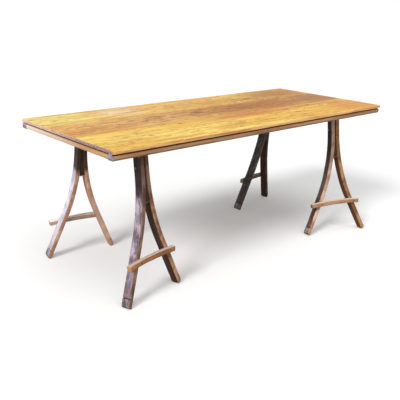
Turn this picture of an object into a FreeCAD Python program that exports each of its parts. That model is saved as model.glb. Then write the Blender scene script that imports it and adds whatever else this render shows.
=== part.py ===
"""Folding trestle table: a plank top that lifts off two trestles.

Each trestle is a flat bearer with two legs.  A leg is a rigid A of two barrel
staves set back to back round an upright iron rod.  The rod turns in the bearer,
so the leg swivels from its standing place to in line with the bearer.

Millimetres, +Z up, +X along the table, -Y is the front.
The origin is on the floor under the middle of the table's overall box.
"""
import FreeCAD, Part
import math
import os

Vector = FreeCAD.Vector
Rotation = FreeCAD.Rotation
X_AXIS = Vector(1, 0, 0)
Y_AXIS = Vector(0, 1, 0)
Z_AXIS = Vector(0, 0, 1)

# Tabletop planks, front to rear
TABLE_HEIGHT = 770.0
TOP_LENGTH = 1961.0
PLANK_THICK = 14.0
FRONT_PLANK_WIDTH = 306.0
MIDDLE_PLANK_WIDTH = 243.0
REAR_PLANK_WIDTH = 273.0
PLANK_GAP = 0.5
TOP_CORNER_ROUND = 12.0
TOP_EDGE_ROUND = 3.0
TOP_TO_REAR = 27.88

# Frame under the edge of the planks
FRAME_THICK = 31.0
FRAME_INSET = 3.0
RIGHT_FRAME_INSET = 16.0
STRIP_WIDTH = 40.0
CLEAT_WIDTH = 60.0
NECK_HEIGHT = 8.0
NECK_DEPTH = 9.0
FRAME_ROUND = 9.0
FRAME_JOINT_GAP = 0.3

# Battens across the planks, one on each side of a bearer
BATTEN_WIDTH = 45.0
BATTEN_THICK = 26.0
BATTEN_END_GAP = 27.0
BATTEN_CHAMFER = 4.0

# Wood screws, driven up from below
SCREW_SHANK = 4.0
SCREW_HEAD = 8.0
SCREW_HEAD_THICK = 3.0
SCREW_SLOT_WIDTH = 1.0
SCREW_SLOT_DEPTH = 1.2
SCREW_BITE = 9.0
SCREW_EDGE = 45.0
SCREW_CLEARANCE = 0.1
STRIP_SCREWS = 7

# Trestle bearers
LEFT_TRESTLE_FROM_END = 249.5
RIGHT_TRESTLE_FROM_END = 279.5
LEFT_TRESTLE_TO_REAR = 4.0
RIGHT_TRESTLE_TO_REAR = -10.0
BEARER_WIDTH = 90.0
BEARER_THICK = 28.0
BEARER_END_GAP = 40.0
BEARER_PLAY = 6.0
BEARER_CHAMFER = 4.0

# Place of each leg on its bearer, how far its rod leans outward and sideways on the way down,
# and the turn off square that it stands at
PIVOT_FROM_BEARER_END = 73.5
LEG_LEAN_OUT = 82.0
RIGHT_FRONT_LEAN_OUT = 112.0
LEFT_FRONT_LEAN_ASIDE = 12.3
LEFT_REAR_LEAN_ASIDE = 12.5
RIGHT_FRONT_LEAN_ASIDE = -28.0
RIGHT_REAR_LEAN_ASIDE = -42.2
LEFT_FRONT_STANCE_DEG = 10.8
LEFT_REAR_STANCE_DEG = 8.6
RIGHT_FRONT_STANCE_DEG = 19.9
RIGHT_REAR_STANCE_DEG = 12.6

# Wedge collar between the bearer and the stave tops
COLLAR_DIAMETER = 60.0
COLLAR_THICK = 6.5
COLLAR_GAP = 0.3

# Staves: upright at the top, bent in the middle, straight down to the foot
STAVE_WIDTH = 47.0
STAVE_THICK = 24.5
STAVE_GAP = 5.0
STAVE_STRAIGHT_TOP = 113.0
STAVE_BEND_RADIUS = 970.0
LEFT_FRONT_SPLAY_DEG = 21.4
LEFT_REAR_SPLAY_DEG = 22.4
RIGHT_FRONT_SPLAY_DEG = 24.9
RIGHT_REAR_SPLAY_DEG = 22.2
FOOT_WEAR = 3.0
CHIME_LENGTH = 14.0
CHIME_DEPTH = 7.0
CROZE_FROM_END = 42.0
CROZE_WIDTH = 5.0
CROZE_DEPTH = 5.0
HOWEL_LENGTH = 60.0
HOWEL_DEPTH = 2.5

# Pivot rod in a groove between the staves, with packing on both sides of it
ROD_DIAMETER = 10.0
ROD_CLEARANCE = 0.3
ROD_SIDE_CLEARANCE = 0.2
ROD_END_LENGTH = 3.0
PACKING_CLEARANCE = 0.05
CROTCH_CLEARANCE = 1.0
PIVOT_NUT_FLATS = 16.0
PIVOT_NUT_THICK = 8.0
NUT_RECESS_CLEARANCE = 1.5
NUT_SINK = 5.0
PLATE_THICK = 3.0
PLATE_WIDTH = 24.0
PLATE_LENGTH = 40.0

# Clamp bolts through both staves and the packing, heads and nuts sunk in
BOLT_DIAMETER = 6.0
BOLT_FLATS = 10.0
BOLT_HEAD_THICK = 4.0
BOLT_NUT_THICK = 5.0
BOLT_END_LENGTH = 1.0
BOLT_CLEARANCE = 0.1
BOLT_RECESS_CLEARANCE = 1.5
BOLT_SINK = 0.5
UPPER_BOLT_FROM_TOP = 40.0
LOWER_BOLT_FROM_TOP = 95.0

# Bowed crossbar on the outward edges of a leg's staves, held by wooden pegs at these heights;
# its middle is set outward from the rod, and its ends reach past the staves
LEFT_FRONT_BAR_HEIGHT = 205.5
LEFT_REAR_BAR_HEIGHT = 193.0
RIGHT_FRONT_BAR_HEIGHT = 188.0
RIGHT_REAR_BAR_HEIGHT = 176.0
LEFT_FRONT_BAR_OFFSET = 18.5
LEFT_REAR_BAR_OFFSET = 20.0
RIGHT_FRONT_BAR_OFFSET = -15.5
RIGHT_REAR_BAR_OFFSET = 33.0
LEFT_FRONT_BAR_OVERHANG = 43.0
LEFT_REAR_BAR_OVERHANG = 22.0
RIGHT_FRONT_BAR_OVERHANG = 42.0
RIGHT_REAR_BAR_OVERHANG = 36.0
CROSSBAR_BOW = 3.5
CROSSBAR_DEPTH = 25.0
CROSSBAR_TALL = 26.0
CROSSBAR_CHAMFER = 2.0
PEG_DIAMETER = 10.0
PEG_IN_STAVE = 34.0
PEG_CLEARANCE = 0.05

# Worked out from the sizes above
TOP_WIDTH = FRONT_PLANK_WIDTH + MIDDLE_PLANK_WIDTH + REAR_PLANK_WIDTH + 2 * PLANK_GAP
PLANK_BOTTOM = TABLE_HEIGHT - PLANK_THICK
FRAME_BOTTOM = PLANK_BOTTOM - FRAME_THICK
BATTEN_BOTTOM = PLANK_BOTTOM - BATTEN_THICK
BEARER_BOTTOM = PLANK_BOTTOM - BEARER_THICK
FRAME_LEFT = TOP_LENGTH / 2 - FRAME_INSET
FRAME_RIGHT = TOP_LENGTH / 2 - RIGHT_FRAME_INSET
INSIDE_WIDTH = TOP_WIDTH - 2 * (FRAME_INSET + STRIP_WIDTH)
BATTEN_LENGTH = INSIDE_WIDTH - 2 * BATTEN_END_GAP
BEARER_LENGTH = INSIDE_WIDTH - 2 * BEARER_END_GAP
CLEAT_LENGTH = INSIDE_WIDTH - 2 * FRAME_JOINT_GAP
PIVOT_Y = BEARER_LENGTH / 2 - PIVOT_FROM_BEARER_END
PIVOT_LENGTH = math.hypot(LEG_LEAN_OUT, BEARER_BOTTOM)
COLLAR_BOTTOM = PIVOT_LENGTH - COLLAR_THICK
LEG_TOP = COLLAR_BOTTOM - COLLAR_GAP
BEND_TOP = LEG_TOP - STAVE_STRAIGHT_TOP
ROD_SIDE = ROD_DIAMETER / 2 + ROD_SIDE_CLEARANCE
STAVE_INNER = STAVE_GAP / 2
STAVE_OUTER = STAVE_INNER + STAVE_THICK
CONCAVE_RADIUS = STAVE_BEND_RADIUS - STAVE_THICK / 2
CONVEX_RADIUS = STAVE_BEND_RADIUS + STAVE_THICK / 2
CROTCH_HALF_WIDTH = max(PLATE_WIDTH, PIVOT_NUT_FLATS) / 2 + CROTCH_CLEARANCE
CROTCH_ANGLE = math.acos(1 - (CROTCH_HALF_WIDTH - STAVE_INNER) / CONVEX_RADIUS)
PACKING_BOTTOM = BEND_TOP - CONVEX_RADIUS * math.sin(CROTCH_ANGLE)
UPPER_NUT_SEAT = PIVOT_LENGTH + BEARER_THICK - NUT_SINK - PIVOT_NUT_THICK
UPPER_NUT_BOTTOM = UPPER_NUT_SEAT + COLLAR_GAP
LOWER_NUT_BOTTOM = PACKING_BOTTOM - PLATE_THICK - PIVOT_NUT_THICK
BOLT_RECESS = 2 * BOLT_FLATS / math.sqrt(3) + 2 * BOLT_RECESS_CLEARANCE
BOLT_SEAT = STAVE_OUTER - BOLT_NUT_THICK - BOLT_END_LENGTH - BOLT_SINK
BOLT_V = (ROD_SIDE + STAVE_WIDTH / 2) / 2
FAR = 4 * TOP_LENGTH
TOP_PLACE = FreeCAD.Placement(Vector(0, TOP_TO_REAR, 0), Rotation())

PLANK_EDGES = {
    "front_plank": (-TOP_WIDTH / 2, -TOP_WIDTH / 2 + FRONT_PLANK_WIDTH),
    "middle_plank": (-TOP_WIDTH / 2 + FRONT_PLANK_WIDTH + PLANK_GAP,
                     TOP_WIDTH / 2 - REAR_PLANK_WIDTH - PLANK_GAP),
    "rear_plank": (TOP_WIDTH / 2 - REAR_PLANK_WIDTH, TOP_WIDTH / 2),
}
LEANS_OUT = {"left_front": LEG_LEAN_OUT, "left_rear": LEG_LEAN_OUT,
             "right_front": RIGHT_FRONT_LEAN_OUT, "right_rear": LEG_LEAN_OUT}
LEANS_ASIDE = {"left_front": LEFT_FRONT_LEAN_ASIDE, "left_rear": LEFT_REAR_LEAN_ASIDE,
               "right_front": RIGHT_FRONT_LEAN_ASIDE, "right_rear": RIGHT_REAR_LEAN_ASIDE}
STANCES = {"left_front": LEFT_FRONT_STANCE_DEG, "left_rear": LEFT_REAR_STANCE_DEG,
           "right_front": RIGHT_FRONT_STANCE_DEG, "right_rear": RIGHT_REAR_STANCE_DEG}
SPLAYS = {"left_front": LEFT_FRONT_SPLAY_DEG, "left_rear": LEFT_REAR_SPLAY_DEG,
          "right_front": RIGHT_FRONT_SPLAY_DEG, "right_rear": RIGHT_REAR_SPLAY_DEG}
BAR_HEIGHTS = {"left_front": LEFT_FRONT_BAR_HEIGHT, "left_rear": LEFT_REAR_BAR_HEIGHT,
               "right_front": RIGHT_FRONT_BAR_HEIGHT, "right_rear": RIGHT_REAR_BAR_HEIGHT}
BAR_OFFSETS = {"left_front": LEFT_FRONT_BAR_OFFSET, "left_rear": LEFT_REAR_BAR_OFFSET,
               "right_front": RIGHT_FRONT_BAR_OFFSET, "right_rear": RIGHT_REAR_BAR_OFFSET}
BAR_OVERHANGS = {"left_front": LEFT_FRONT_BAR_OVERHANG, "left_rear": LEFT_REAR_BAR_OVERHANG,
                 "right_front": RIGHT_FRONT_BAR_OVERHANG, "right_rear": RIGHT_REAR_BAR_OVERHANG}
TRESTLE_SIDES = {"left": -1, "right": 1}
LEG_ROWS = {"front": -1, "rear": 1}
TRESTLE_PLACES = {
    "left": FreeCAD.Placement(Vector(LEFT_TRESTLE_FROM_END - TOP_LENGTH / 2, LEFT_TRESTLE_TO_REAR, 0),
                              Rotation()),
    "right": FreeCAD.Placement(Vector(TOP_LENGTH / 2 - RIGHT_TRESTLE_FROM_END, RIGHT_TRESTLE_TO_REAR, 0),
                               Rotation()),
}


def block(low, high):
    """Box between two corners."""
    size = Vector(*high) - Vector(*low)
    return Part.makeBox(size.x, size.y, size.z, Vector(*low))


def rod(diameter, start, end):
    """Cylinder from one point to another."""
    start = Vector(*start)
    run = Vector(*end) - start
    return Part.makeCylinder(diameter / 2, run.Length, start, run)


def hexagon(flats, start, end):
    """Hexagonal prism from one point to another, two flats square to X or Y."""
    start = Vector(*start)
    run = Vector(*end) - start
    side = X_AXIS if abs(run.x) < 0.5 * run.Length else Y_AXIS
    corner = side.cross(run).normalize() * (flats / math.sqrt(3))
    points = [start + Rotation(run, 60 * turn).multVec(corner) for turn in range(7)]
    return Part.Face(Part.makePolygon(points)).extrude(run)


def edges_where(shape, test):
    """Edges whose two ends both pass a test on the point."""
    return [edge for edge in shape.Edges if all(test(vertex.Point) for vertex in edge.Vertexes)]


def near(value, target):
    return abs(value - target) < 0.001


def placed(shape, place):
    """Copy of a shape moved from its own frame to a place on the table."""
    moved = shape.copy()
    moved.Placement = place * shape.Placement
    return moved


def save(node, shape):
    """Write one node from the top's frame into the table's; a list of solids becomes a group."""
    if isinstance(shape, list):
        shape = Part.makeCompound(shape)
    placed(shape, TOP_PLACE).exportStep("parts/" + node + ".step")


# Tabletop

def wood_screw(x, y, seat):
    """Screw with a slotted head whose upper face seats at the given height."""
    head_bottom = seat - SCREW_HEAD_THICK
    head = rod(SCREW_HEAD, (x, y, head_bottom), (x, y, seat))
    shank = rod(SCREW_SHANK, (x, y, seat), (x, y, PLANK_BOTTOM + SCREW_BITE))
    slot = block((x - SCREW_HEAD, y - SCREW_SLOT_WIDTH / 2, head_bottom),
                 (x + SCREW_HEAD, y + SCREW_SLOT_WIDTH / 2, head_bottom + SCREW_SLOT_DEPTH))
    return head.fuse(shank).removeSplitter().cut(slot)


def screw_hole(x, y, seat):
    """Room for a screw, in the piece below and in the plank above."""
    grow = 2 * SCREW_CLEARANCE
    head = rod(SCREW_HEAD + grow, (x, y, seat - 2 * SCREW_HEAD_THICK), (x, y, seat))
    shank = rod(SCREW_SHANK + grow, (x, y, seat), (x, y, PLANK_BOTTOM + SCREW_BITE + SCREW_CLEARANCE))
    return head.fuse(shank)


def rows_on_planks(length):
    """Two screw places on each plank that a cross piece of this length spans."""
    places = []
    for low, high in PLANK_EDGES.values():
        places.append(max(low, -length / 2) + SCREW_EDGE)
        places.append(min(high, length / 2) - SCREW_EDGE)
    return places


def batten_places():
    """Middle of each batten along X, by name."""
    offset = (BEARER_WIDTH + BATTEN_WIDTH) / 2 + BEARER_PLAY
    places = {}
    for trestle, side in TRESTLE_SIDES.items():
        places[trestle + "_outer_batten"] = TRESTLE_PLACES[trestle].Base.x + side * offset
        places[trestle + "_inner_batten"] = TRESTLE_PLACES[trestle].Base.x - side * offset
    return places


def batten_screw_places():
    seat = BATTEN_BOTTOM + SCREW_HEAD_THICK
    return [(x, y, seat) for x in batten_places().values() for y in rows_on_planks(BATTEN_LENGTH)]


def frame_screw_places():
    seat = FRAME_BOTTOM + SCREW_HEAD_THICK
    strip_y = TOP_WIDTH / 2 - FRAME_INSET - (NECK_DEPTH + STRIP_WIDTH) / 2
    cleat_middle = (NECK_DEPTH + CLEAT_WIDTH) / 2
    left_x = cleat_middle - FRAME_LEFT
    right_x = FRAME_RIGHT - cleat_middle
    step = TOP_LENGTH / STRIP_SCREWS
    places = []
    for number in range(STRIP_SCREWS):
        x = (number - (STRIP_SCREWS - 1) / 2) * step
        places += [(x, -strip_y, seat), (x, strip_y, seat)]
    for y in rows_on_planks(CLEAT_LENGTH):
        places += [(left_x, y, seat), (right_x, y, seat)]
    return places


def plank(low, high):
    """Plank between two Y edges, rounded where it is an edge of the table."""
    end = TOP_LENGTH / 2
    half = TOP_WIDTH / 2
    shape = block((-end, low, PLANK_BOTTOM), (end, high, TABLE_HEIGHT))
    corners = edges_where(shape, lambda p: near(abs(p.x), end) and near(abs(p.y), half))
    uprights = [edge for edge in corners if edge.BoundBox.ZLength > PLANK_THICK / 2]
    if uprights:
        shape = shape.makeFillet(TOP_CORNER_ROUND, uprights)
    rim = []
    for edge in shape.Edges:
        box = edge.BoundBox
        on_joint = near(box.YMin, box.YMax) and abs(box.YMin) < half - TOP_CORNER_ROUND
        if near(box.ZMin, TABLE_HEIGHT) and not on_joint:
            rim.append(edge)
    return shape.makeFillet(TOP_EDGE_ROUND, rim)


def frame_member(width, length):
    """Edge strip or cleat along X, its moulded outer face towards -Y at y = 0."""
    bottom, top = FRAME_BOTTOM, PLANK_BOTTOM
    neck = top - NECK_HEIGHT
    turn = FRAME_ROUND * (1 - math.sqrt(0.5))
    start = -length / 2

    def at(y, z):
        return Vector(start, y, z)

    corners = [at(0, bottom + FRAME_ROUND), at(0, neck), at(NECK_DEPTH, neck), at(NECK_DEPTH, top),
               at(width, top), at(width, bottom), at(FRAME_ROUND, bottom)]
    edges = [Part.makeLine(first, second) for first, second in zip(corners, corners[1:])]
    edges.append(Part.Arc(corners[-1], at(turn, bottom + turn), corners[0]).toShape())
    return Part.Face(Part.Wire(edges)).extrude(X_AXIS * length)


def turned(shape, degrees, place):
    """Shape turned about Z, then moved."""
    return placed(shape, FreeCAD.Placement(Vector(*place), Rotation(Z_AXIS, degrees)))


def make_tabletop():
    screws = {"batten_screws": batten_screw_places(), "frame_screws": frame_screw_places()}
    holes = Part.makeCompound([screw_hole(*place) for places in screws.values() for place in places])
    for node, places in screws.items():
        save(node, [wood_screw(*place) for place in places])

    for node, (low, high) in PLANK_EDGES.items():
        save(node, plank(low, high).cut(holes))

    side = TOP_WIDTH / 2 - FRAME_INSET
    middle = (FRAME_RIGHT - FRAME_LEFT) / 2
    strip = frame_member(STRIP_WIDTH, FRAME_LEFT + FRAME_RIGHT)
    cleat = frame_member(CLEAT_WIDTH, CLEAT_LENGTH)
    save("front_edge_strip", turned(strip, 0, (middle, -side, 0)).cut(holes))
    save("rear_edge_strip", turned(strip, 180, (middle, side, 0)).cut(holes))
    save("left_end_cleat", turned(cleat, -90, (-FRAME_LEFT, 0, 0)).cut(holes))
    save("right_end_cleat", turned(cleat, 90, (FRAME_RIGHT, 0, 0)).cut(holes))

    for node, x in batten_places().items():
        shape = block((x - BATTEN_WIDTH / 2, -BATTEN_LENGTH / 2, BATTEN_BOTTOM),
                      (x + BATTEN_WIDTH / 2, BATTEN_LENGTH / 2, PLANK_BOTTOM))
        lower = edges_where(shape, lambda p: near(p.z, BATTEN_BOTTOM))
        save(node, shape.makeChamfer(BATTEN_CHAMFER, lower).cut(holes))


# Legs, in a frame of their own: u across the two staves, v outward, w up the rod,
# with w = PIVOT_LENGTH at the underside of the bearer

class Leg:
    """Where one leg stands and how far its staves splay."""

    def __init__(self, trestle, row):
        self.name = trestle + "_" + row
        way = LEG_ROWS[row]
        self.outer = TRESTLE_SIDES[trestle] * way
        self.splay = math.radians(SPLAYS[self.name])
        turn = Rotation(Z_AXIS, 0 if way > 0 else 180)
        lean = Rotation(X_AXIS, math.degrees(math.atan2(LEANS_OUT[self.name], BEARER_BOTTOM)))
        yaw = Rotation(Z_AXIS, self.outer * STANCES[self.name])
        side_lean = Rotation(Y_AXIS, -math.degrees(math.atan2(LEANS_ASIDE[self.name], BEARER_BOTTOM)))
        pivot = Vector(0, way * PIVOT_Y, BEARER_BOTTOM)
        hung = FreeCAD.Placement(pivot, side_lean * turn * lean * yaw)
        down = FreeCAD.Placement(Vector(0, 0, -PIVOT_LENGTH), Rotation())
        self.place = TRESTLE_PLACES[trestle] * hung * down
        self.bar_height = BAR_HEIGHTS[self.name]
        self.bar_offset = self.outer * BAR_OFFSETS[self.name]
        self.bar_crossing = self.stave_middle(self.bar_height)
        self.bar_half = self.bar_crossing + STAVE_THICK / 2 + BAR_OVERHANGS[self.name]

    def stave_middle(self, w):
        """Distance from the rod to the middle of a stave, on its straight lower part."""
        bend_drop = STAVE_BEND_RADIUS * math.sin(self.splay)
        bend_out = STAVE_BEND_RADIUS * (1 - math.cos(self.splay))
        middle = (STAVE_INNER + STAVE_OUTER) / 2
        return middle + bend_out + (BEND_TOP - bend_drop - w) * math.tan(self.splay)

    def stave_end(self, u_side):
        """Height w of a stave's square end, so that its lowest corner is worn away at the floor."""
        u_rise = u_side * self.place.Rotation.multVec(X_AXIS).z
        v_rise = self.place.Rotation.multVec(Y_AXIS).z
        w_rise = self.place.Rotation.multVec(Z_AXIS).z
        corner_drop = STAVE_WIDTH / 2 * abs(v_rise) + STAVE_THICK / 2 * math.sin(self.splay)
        drop = self.place.Base.z + self.stave_middle(0) * u_rise
        return (corner_drop - FOOT_WEAR - drop) / w_rise


def stave_outline(leg, end):
    """Closed outline in the u-w plane of the stave at positive u, with its foot end at w = end."""
    down = Vector(math.sin(leg.splay), 0, -math.cos(leg.splay))
    outward = Vector(math.cos(leg.splay), 0, math.sin(leg.splay))
    bend_centre = Vector((STAVE_INNER + STAVE_OUTER) / 2 + STAVE_BEND_RADIUS, 0, BEND_TOP)
    foot = Vector(leg.stave_middle(end), 0, end)

    def bend_point(radius, share):
        angle = leg.splay * share
        return bend_centre - Vector(math.cos(angle), 0, math.sin(angle)) * radius

    def bend_arc(radius, shares):
        return Part.Arc(*[bend_point(radius, share) for share in shares]).toShape()

    def face_point(from_end, depth):
        return foot + outward * (STAVE_THICK / 2 - depth) - down * from_end

    croze_top = CROZE_FROM_END + CROZE_WIDTH
    howel_top = croze_top + HOWEL_LENGTH
    concave_top = Vector(STAVE_OUTER, 0, LEG_TOP)
    convex_top = Vector(STAVE_INNER, 0, LEG_TOP)
    howel = [face_point(howel_top, 0), face_point((howel_top + croze_top) / 2, HOWEL_DEPTH),
             face_point(croze_top, 0)]
    foot_corners = [howel[2], face_point(croze_top, CROZE_DEPTH), face_point(CROZE_FROM_END, CROZE_DEPTH),
                    face_point(CROZE_FROM_END, 0), face_point(CHIME_LENGTH, 0),
                    face_point(0, CHIME_DEPTH), face_point(0, STAVE_THICK)]
    edges = [
        Part.makeLine(convex_top, concave_top),
        Part.makeLine(concave_top, bend_point(CONCAVE_RADIUS, 0)),
        bend_arc(CONCAVE_RADIUS, (0, 0.5, 1)),
        Part.makeLine(bend_point(CONCAVE_RADIUS, 1), howel[0]),
        Part.Arc(*howel).toShape(),
    ]
    edges += [Part.makeLine(first, second) for first, second in zip(foot_corners, foot_corners[1:])]
    edges += [
        Part.makeLine(foot_corners[-1], bend_point(CONVEX_RADIUS, 1)),
        bend_arc(CONVEX_RADIUS, (1, 0.5, 0)),
        Part.makeLine(bend_point(CONVEX_RADIUS, 0), convex_top),
    ]
    return Part.Wire(edges)


def stave(leg, u_side):
    """Stave on one side of the rod; its foot is worn flat where it meets the floor."""
    outline = stave_outline(leg, leg.stave_end(u_side))
    shape = Part.Face(outline).extrude(Y_AXIS * STAVE_WIDTH)
    shape.translate(Y_AXIS * (-STAVE_WIDTH / 2))
    if u_side < 0:
        shape.rotate(Vector(), Z_AXIS, 180)
    floor = placed(block((-FAR, -FAR, -FAR), (FAR, FAR, 0)), leg.place.inverse())
    return shape.cut(floor)


def bolt_places():
    """The two clamp bolts' v and w, one on each side of the rod."""
    return [(BOLT_V, LEG_TOP - UPPER_BOLT_FROM_TOP), (-BOLT_V, LEG_TOP - LOWER_BOLT_FROM_TOP)]


def bolt_holes():
    """Room for the clamp bolts with their sunk heads and nuts."""
    holes = []
    for v, w in bolt_places():
        holes.append(rod(BOLT_DIAMETER + 2 * BOLT_CLEARANCE, (-BOLT_SEAT, v, w), (BOLT_SEAT, v, w)))
        holes.append(rod(BOLT_RECESS, (BOLT_SEAT, v, w), (2 * STAVE_OUTER, v, w)))
        holes.append(rod(BOLT_RECESS, (-BOLT_SEAT, v, w), (-2 * STAVE_OUTER, v, w)))
    return Part.makeCompound(holes)


def clamp_bolt(v, w):
    head = hexagon(BOLT_FLATS, (-BOLT_SEAT - BOLT_HEAD_THICK, v, w), (-BOLT_SEAT, v, w))
    shank_end = BOLT_SEAT + BOLT_NUT_THICK + BOLT_END_LENGTH
    return head.fuse(rod(BOLT_DIAMETER, (-BOLT_SEAT, v, w), (shank_end, v, w)))


def clamp_nut(v, w):
    outside = hexagon(BOLT_FLATS, (BOLT_SEAT, v, w), (BOLT_SEAT + BOLT_NUT_THICK, v, w))
    return outside.cut(rod(BOLT_DIAMETER + 2 * BOLT_CLEARANCE, (0, v, w), (2 * STAVE_OUTER, v, w)))


def packing_strip(v_side, holes):
    """Packing that fills the gap between the staves on one side of the rod, down to the pivot plate."""
    half = STAVE_INNER - PACKING_CLEARANCE
    low, high = sorted([v_side * ROD_SIDE, v_side * STAVE_WIDTH / 2])

    def at(u_side, share):
        angle = CROTCH_ANGLE * share
        spread = CONVEX_RADIUS * (1 - math.cos(angle))
        return Vector(u_side * (half + spread), low, BEND_TOP - CONVEX_RADIUS * math.sin(angle))

    tops = [Vector(-half, low, LEG_TOP), Vector(half, low, LEG_TOP)]
    edges = [
        Part.makeLine(tops[0], tops[1]),
        Part.makeLine(tops[1], at(1, 0)),
        Part.Arc(at(1, 0), at(1, 0.5), at(1, 1)).toShape(),
        Part.makeLine(at(1, 1), at(-1, 1)),
        Part.Arc(at(-1, 1), at(-1, 0.5), at(-1, 0)).toShape(),
        Part.makeLine(at(-1, 0), tops[0]),
    ]
    return Part.Face(Part.Wire(edges)).extrude(Y_AXIS * (high - low)).cut(holes)


def rod_hole():
    return rod(ROD_DIAMETER + 2 * ROD_CLEARANCE, (0, 0, 0), (0, 0, 2 * PIVOT_LENGTH))


def pivot_rod():
    return rod(ROD_DIAMETER, (0, 0, LOWER_NUT_BOTTOM - ROD_END_LENGTH),
               (0, 0, UPPER_NUT_BOTTOM + PIVOT_NUT_THICK))


def pivot_nut(bottom):
    outside = hexagon(PIVOT_NUT_FLATS, (0, 0, bottom), (0, 0, bottom + PIVOT_NUT_THICK))
    return outside.cut(rod(ROD_DIAMETER + 2 * BOLT_CLEARANCE, (0, 0, 0), (0, 0, 2 * PIVOT_LENGTH)))


def pivot_plate():
    """Plate under the packing that the lower nut pulls on."""
    shape = block((-PLATE_WIDTH / 2, -PLATE_LENGTH / 2, PACKING_BOTTOM - PLATE_THICK),
                  (PLATE_WIDTH / 2, PLATE_LENGTH / 2, PACKING_BOTTOM))
    return shape.cut(rod_hole())


def pegs(leg, clearance):
    """Pegs through the crossbar into the staves' edges; a clearance makes their holes."""
    inside = STAVE_WIDTH / 2 - PEG_IN_STAVE - clearance
    outside = STAVE_WIDTH / 2 + CROSSBAR_DEPTH
    return [rod(PEG_DIAMETER + 2 * clearance, (u, inside, leg.bar_height), (u, outside, leg.bar_height))
            for u in (leg.bar_crossing, -leg.bar_crossing)]


def crossbar(leg):
    """Bar that bows up between the pegs, with its ends cut square to the bow."""
    radius = (leg.bar_crossing ** 2 + CROSSBAR_BOW ** 2) / (2 * CROSSBAR_BOW)
    centre = Vector(0, STAVE_WIDTH / 2, leg.bar_height + CROSSBAR_BOW - radius)
    first, last = [math.asin((leg.bar_offset + end) / radius) for end in (-leg.bar_half, leg.bar_half)]
    middle = (first + last) / 2
    under = radius - CROSSBAR_TALL / 2
    over = radius + CROSSBAR_TALL / 2

    def at(angle, distance):
        return centre + Vector(math.sin(angle), 0, math.cos(angle)) * distance

    edges = [
        Part.Arc(at(first, under), at(middle, under), at(last, under)).toShape(),
        Part.makeLine(at(last, under), at(last, over)),
        Part.Arc(at(last, over), at(middle, over), at(first, over)).toShape(),
        Part.makeLine(at(first, over), at(first, under)),
    ]
    shape = Part.Face(Part.Wire(edges)).extrude(Y_AXIS * CROSSBAR_DEPTH)
    outward = edges_where(shape, lambda p: near(p.y, STAVE_WIDTH / 2 + CROSSBAR_DEPTH))
    return shape.makeChamfer(CROSSBAR_CHAMFER, outward)


def make_leg(leg):
    bolts = bolt_holes()
    peg_holes = Part.makeCompound(pegs(leg, PEG_CLEARANCE))
    groove = rod_hole()
    pieces = {
        "outer_stave": stave(leg, leg.outer).cut(groove).cut(bolts).cut(peg_holes),
        "inner_stave": stave(leg, -leg.outer).cut(groove).cut(bolts).cut(peg_holes),
        "packing_strips": [packing_strip(v_side, bolts) for v_side in (1, -1)],
        "pivot_rod": pivot_rod(),
        "pivot_nuts": [pivot_nut(bottom) for bottom in (UPPER_NUT_BOTTOM, LOWER_NUT_BOTTOM)],
        "pivot_plate": pivot_plate(),
        "clamp_bolts": [clamp_bolt(v, w) for v, w in bolt_places()],
        "clamp_nuts": [clamp_nut(v, w) for v, w in bolt_places()],
        "crossbar": crossbar(leg).cut(peg_holes),
        "crossbar_pegs": pegs(leg, 0),
    }
    for piece, shape in pieces.items():
        solids = shape if isinstance(shape, list) else [shape]
        save(leg.name + "_" + piece, [placed(solid, leg.place) for solid in solids])


# Trestle tops

def swivel_collar(leg):
    """Wedge between the flat underside of the bearer and the leaning leg's top."""
    shape = rod(COLLAR_DIAMETER, (0, 0, COLLAR_BOTTOM), (0, 0, COLLAR_BOTTOM + COLLAR_DIAMETER))
    shape = placed(shape.cut(rod_hole()), leg.place)
    return shape.cut(block((-FAR, -FAR, BEARER_BOTTOM), (FAR, FAR, FAR)))


def bearer_hole(leg):
    """Rod hole with a recess from above for the upper nut."""
    recess = 2 * PIVOT_NUT_FLATS / math.sqrt(3) + 2 * NUT_RECESS_CLEARANCE
    shape = rod_hole().fuse(rod(recess, (0, 0, UPPER_NUT_SEAT), (0, 0, 2 * PIVOT_LENGTH)))
    return placed(shape, leg.place)


def make_trestle(trestle):
    shape = block((-BEARER_WIDTH / 2, -BEARER_LENGTH / 2, BEARER_BOTTOM),
                  (BEARER_WIDTH / 2, BEARER_LENGTH / 2, PLANK_BOTTOM))
    lower = edges_where(shape, lambda p: near(p.z, BEARER_BOTTOM))
    shape = placed(shape.makeChamfer(BEARER_CHAMFER, lower), TRESTLE_PLACES[trestle])
    for row in LEG_ROWS:
        leg = Leg(trestle, row)
        make_leg(leg)
        save(leg.name + "_swivel_collar", swivel_collar(leg))
        shape = shape.cut(bearer_hole(leg))
    save(trestle + "_bearer", shape)


os.makedirs("parts", exist_ok=True)
make_tabletop()
for name in TRESTLE_SIDES:
    make_trestle(name)
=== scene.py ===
import math

import bmesh
import bpy
from mathutils import Matrix, Vector, noise


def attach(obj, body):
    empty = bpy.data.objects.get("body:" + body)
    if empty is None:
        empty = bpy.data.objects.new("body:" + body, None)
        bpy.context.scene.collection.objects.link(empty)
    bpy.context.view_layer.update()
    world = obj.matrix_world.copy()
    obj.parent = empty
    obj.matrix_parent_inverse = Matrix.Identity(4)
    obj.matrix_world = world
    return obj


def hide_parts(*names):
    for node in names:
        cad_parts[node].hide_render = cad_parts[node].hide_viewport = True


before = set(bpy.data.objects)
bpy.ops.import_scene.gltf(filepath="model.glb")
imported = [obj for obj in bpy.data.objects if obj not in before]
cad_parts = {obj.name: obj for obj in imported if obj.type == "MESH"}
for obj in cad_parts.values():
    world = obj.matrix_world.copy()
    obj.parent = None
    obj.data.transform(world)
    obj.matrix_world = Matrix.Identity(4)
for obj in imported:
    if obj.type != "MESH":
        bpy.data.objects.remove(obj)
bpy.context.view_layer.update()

# Sizes in metres, as in the part's source
TABLE_HEIGHT = 0.770
TOP_LENGTH = 1.961
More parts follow.
